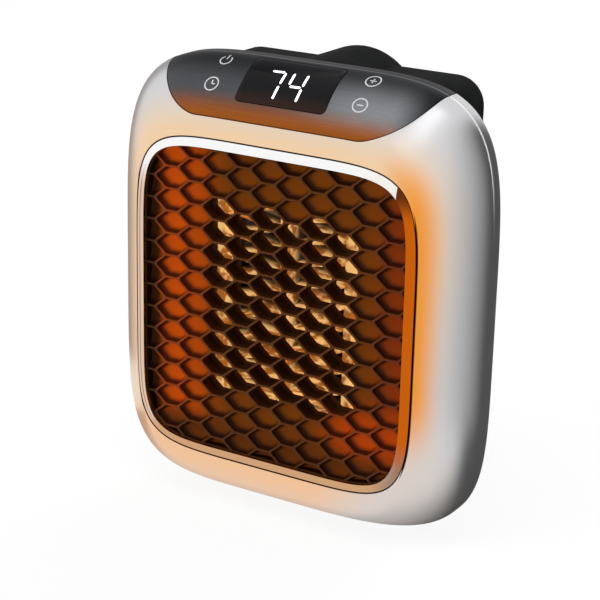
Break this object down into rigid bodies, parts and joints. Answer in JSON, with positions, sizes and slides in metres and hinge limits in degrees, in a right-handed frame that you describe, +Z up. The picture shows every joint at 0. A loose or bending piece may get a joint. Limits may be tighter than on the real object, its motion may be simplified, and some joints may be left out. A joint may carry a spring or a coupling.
{
  "type": "plug-in fan heater",
  "caption": "Plug-in fan heater with silver housing, chrome-framed honeycomb air outlet, sloped touch panel with display, and black rear cover with a rotating flat-blade wall plug.",
  "frame": {"origin": "middle of the plug's flat face, on the plane that rests against the wall plate", "axes": "+Z up, +Y into the wall, so the front with the air outlet faces -Y and +X is to the right for someone who looks at the front"},
  "size_m": [0.1302, 0.075, 0.1433],
  "materials": {
    "silver_shell": "satin silver metallic paint on plastic",
    "chrome_trim": "bright chrome plating",
    "grille_dark": "satin dark brown plastic",
    "panel_graphite": "satin graphite, finely brushed",
    "lens_black": "black, high gloss",
    "black_plastic": "satin black",
    "rocker_black": "black, semi-gloss",
    "insulator": "dull tan heat-proof board",
    "element_aluminium": "plain mill finish",
    "screw_steel": "plain steel",
    "contact_brass": "plain brass",
    "prong_nickel": "nickel-plated brass",
    "circuit_green": "green circuit board",
    "relay_blue": "blue moulded case",
    "display_white": "white diffuser",
    "foam": "dull dark foam rubber",
    "lead_red": "red insulation",
    "lead_white": "off-white insulation"
  },
  "bodies": {
    "housing": {"front_housing": "silver_shell", "grille_bezel": "chrome_trim", "front_grille": "grille_dark", "control_panel": "panel_graphite", "display_lens": "lens_black", "display_module": "display_white", "control_board": "circuit_green", "touch_pad_power": "foam", "touch_pad_timer": "foam", "touch_pad_plus": "foam", "touch_pad_minus": "foam", "heat_shield": "element_aluminium", "ptc_bar_1": "element_aluminium", "ptc_bar_2": "element_aluminium", "ptc_bar_3": "element_aluminium", "fin_stack_1": "element_aluminium", "fin_stack_2": "element_aluminium", "fin_stack_3": "element_aluminium", "fin_stack_4": "element_aluminium", "element_holder_top": "insulator", "element_holder_bottom": "insulator", "thermal_cutout": "screw_steel", "fan_frame": "black_plastic", "fan_motor": "screw_steel", "fan_screw_1": "screw_steel", "fan_screw_2": "screw_steel", "fan_screw_3": "screw_steel", "fan_screw_4": "screw_steel", "rear_cover": "black_plastic", "cover_screw_1": "screw_steel", "cover_screw_2": "screw_steel", "cover_screw_3": "screw_steel", "cover_screw_4": "screw_steel", "turret_retainer": "black_plastic", "brush_live": "contact_brass", "brush_neutral": "contact_brass", "retainer_screw_1": "screw_steel", "retainer_screw_2": "screw_steel", "power_board": "circuit_green", "power_relay": "relay_blue", "filter_capacitor": "screw_steel", "board_screw_1": "screw_steel", "board_screw_2": "screw_steel", "switch_body": "black_plastic", "mains_lead_live": "lead_red", "mains_lead_switched": "lead_red", "mains_lead_neutral": "lead_white", "heater_lead_1": "lead_white", "heater_lead_2": "lead_white", "fan_lead": "lead_red", "control_cable": "lead_white"},
    "fan": {"fan_impeller": "black_plastic", "motor_shaft": "screw_steel"},
    "plug": {"plug_turret": "black_plastic", "prong_live": "prong_nickel", "prong_neutral": "prong_nickel", "contact_ring_live": "contact_brass", "contact_ring_neutral": "contact_brass"},
    "rocker": {"switch_rocker": "rocker_black"}
  },
  "joints": [
    {"name": "fan_spin", "type": "hinge", "parent": "housing", "child": "fan", "pos_m": [0, -0.0312, -0.0614], "axis": [0, 1, 0], "continuous": true},
    {"name": "plug_turn", "type": "hinge", "parent": "housing", "child": "plug", "pos_m": [0, 0, 0], "axis": [0, 1, 0], "range_deg": [-90, 90]},
    {"name": "switch_rock", "type": "hinge", "parent": "housing", "child": "rocker", "pos_m": [-0.0458, -0.0145, -0.0124], "axis": [0, 1, 0], "range_deg": [-24, 0]}
  ]
}
